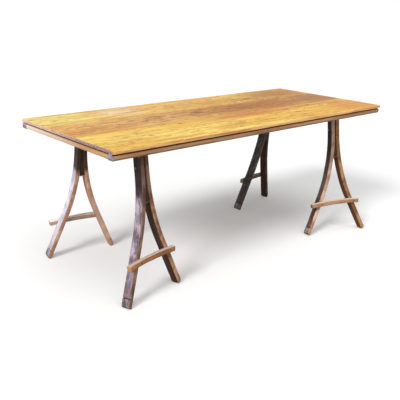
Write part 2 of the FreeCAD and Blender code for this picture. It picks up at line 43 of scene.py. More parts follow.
TOP_WIDTH = 0.823
TOP_TO_REAR = 0.02788
FRONT_JOINT_Y = -0.0774
REAR_JOINT_Y = 0.1661
PLANK_BOTTOM = 0.756
GROOVE_BOTTOM = 0.748
FRAME_LEFT_END = -0.9775
FRAME_RIGHT_END = 0.9645
BEARER_BOTTOM = 0.728
PIVOT_Y = 0.255
LEG_LEAN_OUT = 0.082
RIGHT_FRONT_LEAN_OUT = 0.112
LEG_TOP_BELOW_BEARER = 0.0068
TRESTLE_PLACES = {"left": (-0.731, 0.004), "right": (0.701, -0.010)}

STAVE_WIDTH = 0.047
STAVE_THICK = 0.0245
STAVE_INNER = 0.0025
STRAIGHT_TOP = 0.113
BEND_RADIUS = 0.970
ROD_GROOVE = 0.0106
FOOT_WEAR = 0.003
CHIME_LENGTH = 0.014
CHIME_DEPTH = 0.007
CROZE_FROM_END = 0.042
CROZE_WIDTH = 0.005
CROZE_DEPTH = 0.005
HOWEL_LENGTH = 0.060
HOWEL_DEPTH = 0.0025
BOLT_SEAT = 0.0205
BOLT_RECESS = 0.01455
BOLT_SHANK_HOLE = 0.0062
BOLT_V = 0.01435
UPPER_BOLT_FROM_TOP = 0.040
LOWER_BOLT_FROM_TOP = 0.095

BAR_BOW = 0.0035
BAR_DEPTH = 0.025
BAR_TALL = 0.026

# Hand-made shape that the plain solids leave out; a stave is held straight at its top
STAVE_HOLLOW = 0.0016
STAVE_EDGE_WEAR = 0.0022
STAVE_WAVER = 0.0014
STAVE_HELD_TO = 0.24
STAVE_FREE_FROM = 0.40
BAR_EDGE_WEAR = 0.0032
BAR_WAVER = 0.0022
PEG_PROUD = 0.0010

# Waves a metre in that shape
STAVE_BOW_RATE = 5.0
STAVE_DENT_RATE = 23.0
STAVE_SWAY_RATE = 4.0
STAVE_NICK_RATE = 26.0
BAR_SWELL_RATE = 6.0
BAR_DENT_RATE = 21.0

# How fine the meshes are and how far the cutters reach, with crease angles in degrees
STAVE_STRIPS = 8
STAVE_RING_STEP = 0.022
CUT_WALL = 0.0004
HOWEL_RINGS = 8
BORE_SIDES = 32
BORE_OVERLAP = 0.001
BOLT_BORE = (-0.010, 0.060)
BAR_STRIPS = 4
BAR_RINGS = 28
SHARP_EDGE = 40
STAVE_CREASE = 38
BAR_CREASE = 50

# Worked out from the sizes above
PIVOT_LENGTH = math.hypot(LEG_LEAN_OUT, BEARER_BOTTOM)
LEG_TOP = PIVOT_LENGTH - LEG_TOP_BELOW_BEARER
BEND_TOP = LEG_TOP - STRAIGHT_TOP
STAVE_MIDDLE = STAVE_INNER + STAVE_THICK / 2
CROZE_TOP = CROZE_FROM_END + CROZE_WIDTH


def turn(degrees, axis):
    return Matrix.Rotation(math.radians(degrees), 4, axis)


def smooth_step(low, high, value):
    share = min(max((value - low) / (high - low), 0.0), 1.0)
    return share * share * (3 - 2 * share)


# Legs, each in a frame of its own: u across the staves, v outward, w up the rod

class Leg:
    """Where one leg stands, how far its staves splay and where its bar crosses."""

    def __init__(self, trestle, row, lean_out, aside, stance, splay, bar_height, bar_offset, bar_overhang):
        self.name = trestle + "_" + row
        self.body = self.name + "_leg"
        side = -1 if trestle == "left" else 1
        way = -1 if row == "front" else 1
        self.outer = side * way
        self.splay = math.radians(splay)
        x, y = TRESTLE_PLACES[trestle]
        pivot = Vector((x, y + TOP_TO_REAR + way * PIVOT_Y, BEARER_BOTTOM))
        side_lean = Matrix.Rotation(-math.atan2(aside, BEARER_BOTTOM), 4, "Y")
        facing = turn(0 if way > 0 else 180, "Z")
        lean = Matrix.Rotation(math.atan2(lean_out, BEARER_BOTTOM), 4, "X")
        hung = Matrix.Translation(pivot) @ side_lean @ facing @ lean @ turn(self.outer * stance, "Z")
        self.place = hung @ Matrix.Translation((0, 0, -PIVOT_LENGTH))
        self.bar_height = bar_height
        self.bar_offset = self.outer * bar_offset
        self.bar_crossing = self.stave_middle(bar_height)
        self.bar_half = self.bar_crossing + STAVE_THICK / 2 + bar_overhang

    def stave_middle(self, w):
        """Distance from the rod to the middle of a stave, on its straight lower part."""
        bend_out = BEND_RADIUS * (1 - math.cos(self.splay))
        bend_drop = BEND_RADIUS * math.sin(self.splay)
        return STAVE_MIDDLE + bend_out + (BEND_TOP - bend_drop - w) * math.tan(self.splay)

    def stave_length(self, u_side):
        """Length of a stave's middle line from its top to its square foot end."""
        u_rise, v_rise, w_rise = self.place[2][:3]
        corner_drop = STAVE_WIDTH / 2 * abs(v_rise) + STAVE_THICK / 2 * math.sin(self.splay)
        drop = self.place.translation.z + self.stave_middle(0) * u_side * u_rise
        end = (corner_drop - FOOT_WEAR - drop) / w_rise
        bend_drop = BEND_RADIUS * math.sin(self.splay)
        lower = (BEND_TOP - bend_drop - end) / math.cos(self.splay)
        return STRAIGHT_TOP + BEND_RADIUS * self.splay + lower

    def stave_frame(self, distance):
        """Frame on the middle line of the stave at positive u: X to its hollow face, Y along v, Z up it."""
        bend_length = BEND_RADIUS * self.splay
        angle = min(max((distance - STRAIGHT_TOP) / BEND_RADIUS, 0.0), self.splay)
        straight = min(distance, STRAIGHT_TOP)
        lower = max(distance - STRAIGHT_TOP - bend_length, 0.0)
        bend_centre = Matrix.Translation((STAVE_MIDDLE + BEND_RADIUS, 0, LEG_TOP - straight))
        bent = Matrix.Rotation(-angle, 4, "Y") @ Matrix.Translation((-BEND_RADIUS, 0, -lower))
        return bend_centre @ bent

    def on_stave(self, point):
        """Distance down the stave at positive u, and depth towards its hollow face, of a point near it."""
        arm_u = STAVE_MIDDLE + BEND_RADIUS - point.x
        arm_w = BEND_TOP - point.z
        angle = math.atan2(arm_w, arm_u)
        if arm_w <= 0:
            return STRAIGHT_TOP + arm_w, BEND_RADIUS - arm_u
        if angle < self.splay:
            return STRAIGHT_TOP + BEND_RADIUS * angle, BEND_RADIUS - math.hypot(arm_u, arm_w)
        lower = arm_w * math.cos(self.splay) - arm_u * math.sin(self.splay)
        level = arm_u * math.cos(self.splay) + arm_w * math.sin(self.splay)
        return STRAIGHT_TOP + BEND_RADIUS * self.splay + lower, BEND_RADIUS - level


# Each leg's lean out and aside, the turn it stands at and its staves' splay in degrees,
# then its bar's height, offset and overhang
LEGS = [
    Leg("left", "front", LEG_LEAN_OUT, 0.0123, 10.8, 21.4, 0.2055, 0.0185, 0.0430),
    Leg("left", "rear", LEG_LEAN_OUT, 0.0125, 8.6, 22.4, 0.1930, 0.0200, 0.0220),
    Leg("right", "front", RIGHT_FRONT_LEAN_OUT, -0.0280, 19.9, 24.9, 0.1880, -0.0155, 0.0420),
    Leg("right", "rear", LEG_LEAN_OUT, -0.0422, 12.6, 22.2, 0.1760, 0.0330, 0.0360),
]


# Mesh helpers

def carry(bm, region, frames):
    """Extrude a region, its faces with their edges, through a line of frames as one run of rings."""
    for before, after in zip(frames, frames[1:]):
        made = bmesh.ops.extrude_face_region(bm, geom=region)["geom"]
        region = [item for item in made if not isinstance(item, bmesh.types.BMVert)]
        verts = [item for item in made if isinstance(item, bmesh.types.BMVert)]
        bmesh.ops.transform(bm, matrix=after @ before.inverted(), verts=verts)


def swept(section, strips, frames):
    """Closed mesh of a section, given as a sized grid in strips, carried from frame to frame."""
    bm = bmesh.new()
    bmesh.ops.create_grid(bm, x_segments=1, y_segments=strips, size=0.5, matrix=frames[0] @ section)
    carry(bm, bm.faces[:] + bm.edges[:], frames)
    return bm


def ease_edges(bm, radius, segments):
    """Round off every sharp edge."""
    bmesh.ops.recalc_face_normals(bm, faces=bm.faces)
    sharp = [edge for edge in bm.edges if edge.calc_face_angle(0.0) > math.radians(SHARP_EDGE)]
    bmesh.ops.bevel(bm, geom=sharp, offset=radius, offset_type="OFFSET", affect="EDGES",
                    segments=segments, profile=0.5, clamp_overlap=True, material=-1)


def wear_flat_on_floor(bm):
    """Cut a foot off level at the floor."""
    everything = bm.verts[:] + bm.edges[:] + bm.faces[:]
    cut = bmesh.ops.bisect_plane(bm, geom=everything, plane_co=(0, 0, 0), plane_no=(0, 0, -1),
                                 clear_outer=True)
    rim = [item for item in cut["geom_cut"] if isinstance(item, bmesh.types.BMEdge)]
    if rim:
        bmesh.ops.contextual_create(bm, geom=rim)


def piece_of(bm, name):
    bmesh.ops.recalc_face_normals(bm, faces=bm.faces)
    mesh = bpy.data.meshes.new(name)
    bm.to_mesh(mesh)
    bm.free()
    piece = bpy.data.objects.new(name, mesh)
    bpy.context.scene.collection.objects.link(piece)
    return piece


def bored(piece, cutter):
    """Cut one piece with another, and throw the cutter away."""
    cut = piece.modifiers.new("bore", "BOOLEAN")
    cut.object = cutter
    cut.solver = "EXACT"
    shape = bpy.data.meshes.new_from_object(piece.evaluated_get(bpy.context.evaluated_depsgraph_get()))
    piece.modifiers.clear()
    piece.data = shape
    bpy.data.objects.remove(cutter)


def bore(bm, radius, length, place):
    """Add a closed cylinder along Z of this place."""
    bmesh.ops.create_cone(bm, cap_ends=True, segments=BORE_SIDES, radius1=radius, radius2=radius,
                          depth=length, matrix=place)


def wander(seed, along, across):
    """Smooth unevenness between about -1 and 1, the same in every run."""
    return noise.noise(Vector((seed, along, across)))


def lay_grain(piece, to_grain):
    """Store at each point where it lies across, into and along the wood, for the finish to follow."""
    grain = piece.data.attributes.new("grain", "FLOAT_VECTOR", "POINT")
    for vertex in piece.data.vertices:
        grain.data[vertex.index].vector = to_grain(vertex.co)


def shade_round(piece, degrees):
    """Smooth shading, with a crease at every edge sharper than this."""
    piece.data.shade_smooth()
    piece.data.set_sharp_from_angle(angle=math.radians(degrees))


# Barrel staves

def hollow_cut(from_end):
    """Depth that the cooper's cuts take off the hollow face at this distance from the foot end."""
    if from_end < CHIME_LENGTH:
        return CHIME_DEPTH * (1 - max(from_end, 0.0) / CHIME_LENGTH)
    if CROZE_FROM_END < from_end < CROZE_TOP:
        return CROZE_DEPTH
    share = (from_end - CROZE_TOP) / HOWEL_LENGTH
    if 0 < share < 1:
        return HOWEL_DEPTH * 4 * share * (1 - share)
    return 0.0


def stave_stations(length):
    """Distances down a stave for its rings, close together at the cooper's cuts."""
    foot_run = CROZE_TOP + HOWEL_LENGTH + STAVE_RING_STEP
    runs = round((length - foot_run) / STAVE_RING_STEP)
    stations = [(length - foot_run) * number / runs for number in range(runs)]
    howel = [CROZE_TOP + HOWEL_LENGTH * ring / HOWEL_RINGS for ring in range(HOWEL_RINGS, 0, -1)]
    croze = [edge + wall for edge in (CROZE_TOP, CROZE_FROM_END) for wall in (CUT_WALL, -CUT_WALL)]
    chime = [2 * CHIME_LENGTH, CHIME_LENGTH, CHIME_LENGTH / 2, 0.0]
    return stations + [length - from_end for from_end in [foot_run] + howel + croze + chime]


def shape_stave(bm, leg, length, seed):
    """Hollow the broad faces, make the cooper's cuts and let the free part waver."""
    for vert in bm.verts:
        distance, depth = leg.on_stave(vert.co)
        to_hollow = leg.stave_frame(distance).to_3x3() @ Vector((1, 0, 0))
        across = 2 * vert.co.y / STAVE_WIDTH
        share = 0.5 + depth / STAVE_THICK
        crown = STAVE_HOLLOW * (across * across - share)
        free = smooth_step(STAVE_HELD_TO, STAVE_FREE_FROM, distance)
        bow = wander(seed, distance * STAVE_BOW_RATE, 0.0)
        dents = wander(seed, distance * STAVE_DENT_RATE, across * 0.8)
        move = crown + STAVE_WAVER * (0.96 * bow * free + 0.25 * dents * max(share, free))
        limit = STAVE_THICK / 2 - hollow_cut(length - distance)
        if depth > limit:
            move += limit - depth
        vert.co += to_hollow * move
        sway = wander(seed + 9.0, distance * STAVE_SWAY_RATE, 3.0 + across)
        nicks = wander(seed + 5.0, distance * STAVE_NICK_RATE, across * 2.0)
        vert.co.y += STAVE_WAVER * (0.8 * sway + 0.3 * nicks) * free


def stave_borer(name):
    """The rod's groove and both sunk bolt holes of the stave at positive u, as one cutter."""
    bm = bmesh.new()
    bore(bm, ROD_GROOVE / 2, 2 * LEG_TOP, Matrix())
    inner, outer = BOLT_BORE
    holes = [(BOLT_RECESS / 2, BOLT_SEAT, outer), (BOLT_SHANK_HOLE / 2, inner, BOLT_SEAT + BORE_OVERLAP)]
    places = [(BOLT_V, LEG_TOP - UPPER_BOLT_FROM_TOP), (-BOLT_V, LEG_TOP - LOWER_BOLT_FROM_TOP)]
    for v, w in places:
        for radius, start, stop in holes:
            middle = Matrix.Translation(((start + stop) / 2, v, w))
            bore(bm, radius, stop - start, middle @ turn(90, "Y"))
    return piece_of(bm, name + "_borer")


def make_stave(leg, part, u_side, seed):
    name = leg.name + "_" + part
    length = leg.stave_length(u_side)
    frames = [leg.stave_frame(distance) for distance in stave_stations(length)]
    bm = swept(Matrix.Diagonal((STAVE_THICK, STAVE_WIDTH, 1, 1)), STAVE_STRIPS, frames)
    ease_edges(bm, STAVE_EDGE_WEAR, segments=2)
    shape_stave(bm, leg, length, seed)
    piece = piece_of(bm, name + "_wood")
    bored(piece, stave_borer(name))

    def to_grain(point):
        distance, depth = leg.on_stave(point)
        return point.y, depth, length - distance

    lay_grain(piece, to_grain)
    bm = bmesh.new()
    bm.from_mesh(piece.data)
    place = leg.place @ turn(0 if u_side > 0 else 180, "Z")
    bmesh.ops.transform(bm, matrix=place, verts=bm.verts)
    wear_flat_on_floor(bm)
    bm.to_mesh(piece.data)
    bm.free()
    shade_round(piece, STAVE_CREASE)
    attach(piece, leg.body)
    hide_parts(name)
    return piece


# Crossbars

def make_crossbar(leg, seed):
    """Bar riven to a bow, a little uneven, with rounded ends."""
    name = leg.name + "_crossbar"
    radius = (leg.bar_crossing ** 2 + BAR_BOW ** 2) / (2 * BAR_BOW)
    first, last = [math.asin((leg.bar_offset + end) / radius) for end in (-leg.bar_half, leg.bar_half)]
    depth = BAR_DEPTH - PEG_PROUD
    centre = Matrix.Translation((0, STAVE_WIDTH / 2 + depth / 2, leg.bar_height + BAR_BOW - radius))
    frames = []
    for ring in range(BAR_RINGS + 1):
        angle = first + (last - first) * ring / BAR_RINGS
        frames.append(centre @ Matrix.Rotation(angle, 4, "Y") @ Matrix.Translation((0, 0, radius)))
    section = turn(90, "Y") @ Matrix.Diagonal((BAR_TALL, depth, 1, 1))
    bm = swept(section, BAR_STRIPS, frames)
    ease_edges(bm, BAR_EDGE_WEAR, segments=3)
    for vert in bm.verts:
        arm = vert.co - centre.translation
        along = math.atan2(arm.x, arm.z) * radius
        rise = math.hypot(arm.x, arm.z) - radius
        outward = smooth_step(-depth / 2, depth / 2, arm.y)
        swell = wander(seed, along * BAR_SWELL_RATE, 0.0)
        dents = wander(seed + 3.0, along * BAR_DENT_RATE, rise * 30.0)
        vert.co.z += BAR_WAVER * (swell + 0.4 * dents) * (0.6 if rise > 0 else -0.5)
        vert.co.y += BAR_WAVER * (0.7 * dents - 0.3) * outward
    bmesh.ops.transform(bm, matrix=leg.place, verts=bm.verts)
    piece = piece_of(bm, name + "_wood")
    back = leg.place.inverted()

    def to_grain(point):
        arm = back @ point - centre.translation
        return arm.y, math.hypot(arm.x, arm.z) - radius, math.atan2(arm.x, arm.z) * radius

    lay_grain(piece, to_grain)
    shade_round(piece, BAR_CREASE)
    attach(piece, leg.body)
    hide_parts(name)
    return piece


# Finishes

def tone(red, green, blue):
    """Colour from its 0 to 255 screen values."""
    def linear(value):
        value /= 255
        return value / 12.92 if value <= 0.04045 else ((value + 0.055) / 1.055) ** 2.4
    return linear(red), linear(green), linear(blue), 1.0


class Wire:
    """A socket of a finish; sums on it add Math nodes."""

    def __init__(self, finish, socket):
        self.finish = finish
        self.socket = socket

    def __add__(self, other):
        return self.finish.maths("ADD", self, other)

    def __sub__(self, other):
        return self.finish.maths("SUBTRACT", self, other)

    def __rsub__(self, other):
        return self.finish.maths("SUBTRACT", other, self)

    def __mul__(self, other):
        return self.finish.maths("MULTIPLY", self, other)

    __radd__ = __add__
    __rmul__ = __mul__


class Finish:
    """A material whose nodes all come from one method."""

    def __init__(self, name):
        self.material = bpy.data.materials.new(name)
        self.material.use_nodes = True
        self.tree = self.material.node_tree
        self.shader = self.tree.nodes["Principled BSDF"]

    def node(self, kind, settings, sockets, output=0):
        node = self.tree.nodes.new(kind)
        for key, value in settings.items():
            setattr(node, key, value)
        for key, value in sockets.items():
            self.plug(node.inputs[key], value)
        return Wire(self, node.outputs[output])

    def plug(self, socket, value):
        if isinstance(value, Wire):
            self.tree.links.new(value.socket, socket)
        else:
            socket.default_value = value

    def maths(self, operation, *values):
        return self.node("ShaderNodeMath", {"operation": operation}, dict(enumerate(values)))

    def size(self, value):
        """A value without its sign."""
        return self.maths("ABSOLUTE", value)

    def distance(self, first, second):
        """Distance that two steps at right angles make."""
        return self.maths("SQRT", first * first + second * second)

    def place(self):
        return self.node("ShaderNodeTexCoord", {}, {}, "Object")

    def grain(self):
        return self.node("ShaderNodeAttribute", {"attribute_name": "grain"}, {}, "Vector")

    def split(self, vector):
        return [self.node("ShaderNodeSeparateXYZ", {}, {"Vector": vector}, axis) for axis in range(3)]

    def cloud(self, vector, scale, shift=(0, 0, 0), detail=2.0, rough=0.5):
        """Soft noise with its own scale along each axis."""
        stretched = self.node("ShaderNodeVectorMath", {"operation": "MULTIPLY_ADD"},
                              {0: vector, 1: scale, 2: shift})
        return self.node("ShaderNodeTexNoise", {"noise_dimensions": "3D"},
                         {"Vector": stretched, "Scale": 1.0, "Detail": detail, "Roughness": rough})

    def specks(self, vector, scale, shift, limits, detail=1.0, rough=0.5):
        """Noise cut to spots: none below the lower limit, full above the upper one."""
        return self.step(self.cloud(vector, scale, shift, detail, rough), *limits)

    def line(self, value, scale):
        """Soft noise along a line."""
        return self.node("ShaderNodeTexNoise", {"noise_dimensions": "1D"},
                         {"W": value, "Scale": scale, "Detail": 1.0})

    def step(self, value, low, high):
        return self.node("ShaderNodeMapRange", {"interpolation_type": "SMOOTHSTEP"},
                         {"Value": value, "From Min": low, "From Max": high})

    def mix(self, share, first, second):
        return self.node("ShaderNodeMix", {"data_type": "RGBA"}, {0: share, 6: first, 7: second}, 2)

    def done(self, colour, roughness, height, gloss, metal=0.0):
        """Plug in what varies, with the height in metres, and set what doesn't."""
        self.plug(self.shader.inputs["Base Color"], colour)
        self.plug(self.shader.inputs["Roughness"], roughness)
        self.shader.inputs["Specular IOR Level"].default_value = gloss
        self.shader.inputs["Metallic"].default_value = metal
        bump = self.node("ShaderNodeBump", {}, {"Strength": 1.0, "Distance": 1.0, "Height": height})
        self.plug(self.shader.inputs["Normal"], bump)
        return self.material


# Finish of the top

RING_WIDTH = 0.021
JOINT_DIRT = (0.0006, 0.0024)
UNDERSIDE = (PLANK_BOTTOM + 0.0002, PLANK_BOTTOM + 0.0008)
LIP = (TOP_WIDTH / 2 - 0.0022, TOP_WIDTH / 2 - 0.0006)
PLANK_END = (TOP_LENGTH / 2 - 0.0026, TOP_LENGTH / 2 - 0.0008)
GROOVE = (GROOVE_BOTTOM - 0.0006, GROOVE_BOTTOM + 0.0006)
STRIP_LOWER_DARK = (0.727, 0.739)
STRIP_BLOCK = (0.728, 0.744)
LEFT_BLOCK = (FRAME_LEFT_END + 0.0003, FRAME_LEFT_END + 0.0014)
RIGHT_BLOCK = (FRAME_RIGHT_END - 0.0014, FRAME_RIGHT_END - 0.0003)


def growth_rings(finish, across, depth, along, seed):
    """Dark late wood of rings round a wandering heart: lines by the edge, arches over the heart."""
    stray = finish.line(along + seed, 1.2) - 0.5
    rise = finish.line(along + (seed + 31.0), 1.7) - 0.5
    radius = finish.distance(across + stray * 0.10, depth + rise * 0.13)
    count = radius * (1 / RING_WIDTH) + finish.line(radius + seed, 0.3 / RING_WIDTH) * 1.6
    return finish.step(finish.maths("FRACT", count), 0.42, 0.98)


def patch(finish, x, y, ragged, centre, reach):
    """Soft ragged patch of a plank: one in its middle, none past its reach."""
    off_x = (x - centre[0]) * (1 / reach[0])
    off_y = (y - centre[1]) * (1 / reach[1])
    return 1 - finish.step(finish.distance(off_x, off_y) + (ragged - 0.5) * 1.3, 0.15, 1.10)


def plank_end_grain(finish, place, y, ragged):
    """Speckled end grain, creamier towards the rear."""
    speck = finish.cloud(place, (40, 90, 160), detail=3.0, rough=0.7)
    to_rear = finish.step(y + (ragged - 0.5) * 0.2, -0.30, 0.34)
    light = finish.mix(to_rear, tone(190, 160, 160), tone(244, 218, 194))
    dark = finish.mix(to_rear, tone(134, 98, 98), tone(206, 168, 142))
    return finish.mix(finish.step(speck, 0.34, 0.66), light, dark)


def plank_oak(name, seed, heart, joints, arches, tones, patches):
    """Oiled tabletop oak, grain along X, with dirty joints, a raw underside and bare lip and ends."""
    finish = Finish(name)
    place = finish.place()
    x, y, z = finish.split(place)
    light, warm, ring_tone, pore_tone = tones
    heart_y, heart_depth = heart
    waves = finish.cloud(place, (2.6, 13, 13), (seed, 0, 0))
    ragged = finish.cloud(place, (5, 16, 16), (seed, 4, 9), 3.0, 0.6)
    broad = finish.cloud(place, (1.7, 7, 7), (seed, 4, 2))
    streaks = finish.cloud(place, (4, 58, 58), (seed, 0, 7), 4.0, 0.66)
    flecks = finish.specks(place, (13, 62, 62), (seed, 3, 1), (0.50, 0.62), 3.0, 0.6)
    dashes = finish.specks(place, (22, 110, 110), (seed, 6, 2), (0.55, 0.64), 2.0, 0.55)
    pores = finish.specks(place, (30, 900, 900), (seed, 3, 0), (0.58, 0.72))
    across = y - heart_y + (waves - 0.5) * 0.040
    rings = growth_rings(finish, across, heart_depth + TABLE_HEIGHT - z, x, seed)
    colour = finish.mix(finish.step(broad, 0.38, 0.62), light, warm)
    frayed = ragged + (streaks - 0.5) * 1.1
    for patch_tone, centre, reach, strength in patches:
        colour = finish.mix(patch(finish, x, y, frayed, centre, reach) * strength, colour, patch_tone)
    arched = patch(finish, x, y, ragged, *arches)
    colour = finish.mix(finish.step(streaks, 0.42, 0.72) * 0.60, colour, ring_tone)
    colour = finish.mix(rings * (0.16 + flecks * 0.20 + arched * 0.40), colour, ring_tone)
    colour = finish.mix(flecks * arched * 0.62, colour, pore_tone)
    colour = finish.mix(dashes * finish.step(ragged, 0.40, 0.58) * 0.62, colour, pore_tone)
    colour = finish.mix(pores * 0.30, colour, pore_tone)
    for joint in joints:
        dirt = 1 - finish.step(finish.size(y - joint), *JOINT_DIRT)
        colour = finish.mix(dirt * 0.45, colour, pore_tone)
    bare = finish.step(streaks, 0.38, 0.66)
    raw = finish.mix(bare, tone(206, 168, 128), tone(166, 126, 90))
    colour = finish.mix((1 - finish.step(z, *UNDERSIDE)) * 0.8, colour, raw)
    lip_colour = finish.mix(bare, tone(250, 198, 130), tone(206, 140, 84))
    colour = finish.mix(finish.step(finish.size(y - TOP_TO_REAR), *LIP), colour, lip_colour)
    end = finish.step(finish.size(x), *PLANK_END)
    colour = finish.mix(end, colour, plank_end_grain(finish, place, y, ragged))
    roughness = 0.46 + streaks * 0.16 + end * 0.25
    height = streaks * 0.00025 - pores * 0.00006 - rings * 0.00008
    return finish.done(colour, roughness, height, 0.16)


def sawn_grain(finish, place, run, seed, tones):
    """Colour, clouds and streaks of plain oak with its grain along one axis."""
    broad, fine, finest = [[(long if axis == run else short) for axis in range(3)]
                           for long, short in ((2.6, 22), (6, 110), (28, 800))]
    clouds = finish.cloud(place, broad, (seed, seed, seed))
    streaks = finish.cloud(place, fine, (seed, 1, 5), 3.0, 0.6)
    pores = finish.specks(place, finest, (2, seed, 3), (0.58, 0.72))
    light, warm, dark = tones
    colour = finish.mix(finish.step(clouds, 0.36, 0.64), light, warm)
    colour = finish.mix(finish.step(streaks, 0.44, 0.74) * 0.55, colour, dark)
    colour = finish.mix(pores * 0.4, colour, dark)
    return colour, clouds, streaks


def sawn_done(finish, colour, streaks):
    """Close a finish of plain oak with its dull sheen and fine ridges."""
    return finish.done(colour, 0.52 + streaks * 0.2, streaks * 0.0003, 0.2)


def sawn_oak(name, run, seed, tones):
    """Plain oak with its grain along one axis."""
    finish = Finish(name)
    colour, _, streaks = sawn_grain(finish, finish.place(), run, seed, tones)
    return sawn_done(finish, colour, streaks)


def groove_painted_shade(finish, z, colour):
    """Paint shade into the groove under the planks."""
    return finish.mix(finish.step(z, *GROOVE) * 0.94, colour, tone(58, 30, 20))


def edge_strip_oak(name, seed, tones):
    """Strip under a long edge: darker along its lower edge, with painted shade in its groove and pale end
    grain.
    """
    finish = Finish(name)
    place = finish.place()
    x, _, z = finish.split(place)
    colour, clouds, streaks = sawn_grain(finish, place, 0, seed, tones)
    # Darker along the strip's lower edge
    low = 1 - finish.step(z + (clouds - 0.5) * 0.010, *STRIP_LOWER_DARK)
    colour = finish.mix(low * 0.65, colour, tone(104, 76, 50))
    colour = groove_painted_shade(finish, z, colour)
    speck = finish.specks(place, (120, 120, 120), (0, 0, 0), (0.38, 0.68), 3.0, 0.65)
    block = finish.mix(finish.step(z, *STRIP_BLOCK), tone(150, 152, 156), tone(190, 174, 194))
    block = finish.mix(speck, block, tone(120, 104, 116))
    left = 1 - finish.step(x, *LEFT_BLOCK)
    colour = finish.mix(left + finish.step(x, *RIGHT_BLOCK), colour, block)
    return sawn_done(finish, colour, streaks)


def end_cleat_oak(name, seed):
    """Cleat under an end of the planks, creamier towards the rear, with painted shade in its groove."""
    finish = Finish(name)
    place = finish.place()
    _, y, z = finish.split(place)
    tones = (tone(226, 176, 126), tone(204, 148, 100), tone(150, 102, 66))
    colour, clouds, streaks = sawn_grain(finish, place, 1, seed, tones)
    cream = finish.step(y + (clouds - 0.5) * 0.4, -0.20, 0.36)
    colour = finish.mix(cream * 0.85, colour, tone(255, 234, 214))
    return sawn_done(finish, groove_painted_shade(finish, z, colour), streaks)


# Finish of the legs: where it changes off a stave's middle, up from its foot end, and above a bar's middle

STAVE_FACE = (STAVE_WIDTH / 2 - 0.0042, STAVE_WIDTH / 2 - 0.0026)
CONTACT_SHADE = (0.001, 0.008)
GREY_CHIME = (0.034, 0.043)
CROZE_DARK = (0.0022, 0.0034)
RUST_START = (CROZE_TOP - 0.001, CROZE_TOP + 0.004)
RUST_STOP = (CROZE_TOP + 0.006, CROZE_TOP + 0.060)
DAMP = (0.10, 0.26)
# Where the top's painted shadow starts, up from the foot end
TOP_SHADOW_LINE = (0.490, 0.535)
BAR_LIT_AND_SHADED_RIM = (0.0090, 0.0125)
BAR_END = (0.0010, 0.0030)


def foot_marks(finish, colour, depth, from_end, hollow, blots):
    """Rust above the croze, the black croze itself, the grey chime and the sole painted black as its contact
    shadow with the floor.
    """
    uneven = blots - 0.5
    rust = finish.step(from_end, *RUST_START) * (1 - finish.step(from_end + uneven * 0.06, *RUST_STOP))
    colour = finish.mix(rust * hollow * 0.40, colour, tone(146, 102, 86))
    off_croze = finish.size(from_end - (CROZE_TOP + CROZE_FROM_END) / 2)
    # Near-black inside the croze groove
    croze = (1 - finish.step(off_croze, *CROZE_DARK)) * finish.step(depth, 0.002, 0.005)
    colour = finish.mix(croze * 0.85, colour, tone(34, 26, 24))
    chime = 1 - finish.step(from_end + uneven * 0.010, *GREY_CHIME)
    chime_colour = finish.mix(finish.step(blots, 0.40, 0.60), tone(168, 160, 164), tone(84, 74, 74))
    colour = finish.mix(chime * hollow * 0.85, colour, chime_colour)
    # Painted contact shadow at the foot, where it meets the floor
    contact_shade = 1 - finish.step(from_end + uneven * 0.008, *CONTACT_SHADE)
    return finish.mix(contact_shade * (0.45 + hollow * 0.45), colour, tone(34, 29, 28))


def stave_oak(name, seed, tones, painted_top_shadow):
    """Old barrel oak: wine-stained on its hollow face, barer on its edges, with the top's shadow painted
    dark over its top.
    """
    finish = Finish(name)
    grain = finish.grain()
    across, depth, from_end = finish.split(grain)
    stain, stain_dark, edge, edge_dark, back = tones
    shadow_faces, shadow_edges = painted_top_shadow
    streaks = finish.cloud(grain, (70, 70, 5), (seed, 0, 3), 4.0, 0.66)
    pores = finish.specks(grain, (700, 700, 26), (seed, 5, 0), (0.58, 0.74))
    blots = finish.cloud(grain, (40, 40, 19), (seed, 8, 1), 5.0, 0.68)
    bands = finish.cloud(grain, (10, 10, 9), (seed, 2, 6), 3.0, 0.6)
    rubbed = finish.specks(grain, (24, 24, 11), (seed, 1, 2), (0.52, 0.66), 3.0, 0.6)
    face = 1 - finish.step(finish.size(across) + (blots - 0.5) * 0.002, *STAVE_FACE)
    hollow = face * finish.step(depth, 0.0, 0.002)
    wood = finish.mix(finish.step(bands, 0.40, 0.60), edge, edge_dark)
    wood = finish.mix(finish.step(streaks, 0.40, 0.70) * 0.65, wood, edge_dark)
    wood = finish.mix(rubbed * 0.35, wood, tone(188, 172, 168))
    dull = finish.mix(finish.step(streaks, 0.38, 0.66) * 0.3, back, edge_dark)
    wood = finish.mix(face - hollow, wood, dull)
    wine = finish.mix(finish.step(blots, 0.38, 0.62), stain, stain_dark)
    wine = finish.mix(finish.step(streaks, 0.44, 0.70) * 0.6, wine, stain_dark)
    damp = 1 - finish.step(from_end + (blots - 0.5) * 0.10, *DAMP)
    wine = finish.mix(damp * 0.45, wine, stain_dark)
    colour = finish.mix(hollow, wood, wine)
    colour = foot_marks(finish, colour, depth, from_end, hollow, blots)
    # Painted shadow of the top, dark over the upper third of the leg
    top_shadow = finish.step(from_end + (blots - 0.5) * 0.05, *TOP_SHADOW_LINE)
    colour = finish.mix(top_shadow * (shadow_edges + face * (shadow_faces - shadow_edges)), colour, tone(40, 27, 18))
    colour = finish.mix(pores * 0.35, colour, tone(44, 34, 30))
    height = streaks * 0.0007 + blots * 0.0005 - pores * 0.00006
    return finish.done(colour, 0.58 + streaks * 0.2, height, 0.22)


